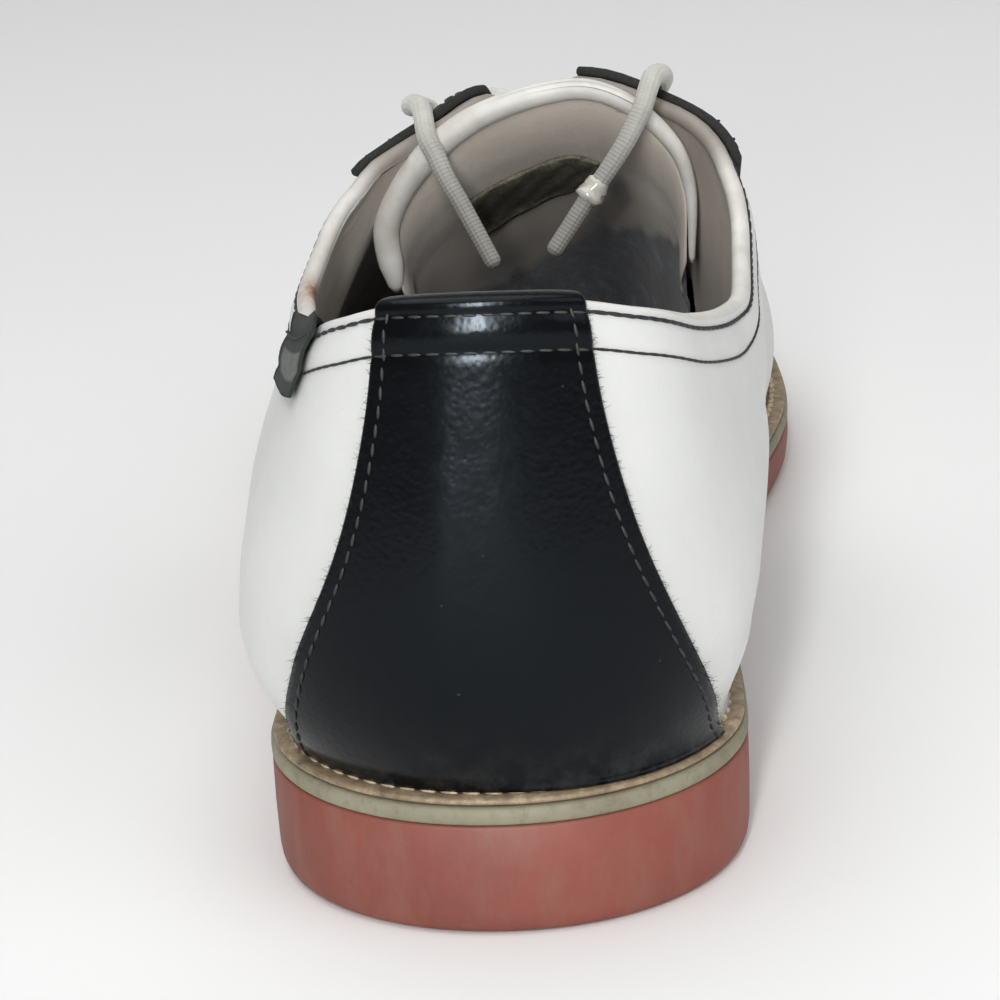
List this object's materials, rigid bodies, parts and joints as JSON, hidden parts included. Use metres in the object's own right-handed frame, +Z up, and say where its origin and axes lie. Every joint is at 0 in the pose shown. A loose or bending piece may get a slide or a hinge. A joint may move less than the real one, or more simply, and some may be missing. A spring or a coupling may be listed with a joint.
{
  "type": "saddle shoe",
  "caption": "Left lace-up saddle shoe with an open collar and throat, dark saddle and heel counter over a pale upper, stitched welt and low rubber heel.",
  "frame": {"origin": "middle of the heel's tread, on the floor", "axes": "+Z up, +Y along the shoe to the toe, +X to the medial side of the left foot"},
  "size_m": [0.0924, 0.2816, 0.0977],
  "materials": {
    "red_rubber": "matt brick-red moulded rubber, lightly scuffed",
    "greige_midsole": "matt greige crepe strip with dirt in the edge",
    "brown_welt": "brown welt with tan stitches",
    "white_leather": "smooth white corrected leather, soft sheen, worn",
    "black_leather": "smooth blue-black leather with raw cut edges and soft gloss",
    "tongue_leather": "white leather face with a beige-grey napped lining",
    "insole_board": "dark navy-grey footbed, rubbed",
    "green_ribbon": "dark green woven ribbon with a bare grey patch",
    "cotton_lace": "round off-white waxed cotton lace"
  },
  "bodies": {
    "root": {"outsole": "red_rubber", "midsole": "greige_midsole", "welt": "brown_welt", "upper": "white_leather", "saddle": "black_leather", "counter": "black_leather", "tongue": "tongue_leather", "insole": "insole_board", "side_tab": "green_ribbon", "lace_crossings": "cotton_lace", "lace_end_lateral": "cotton_lace", "lace_end_medial": "cotton_lace"}
  },
  "joints": []
}
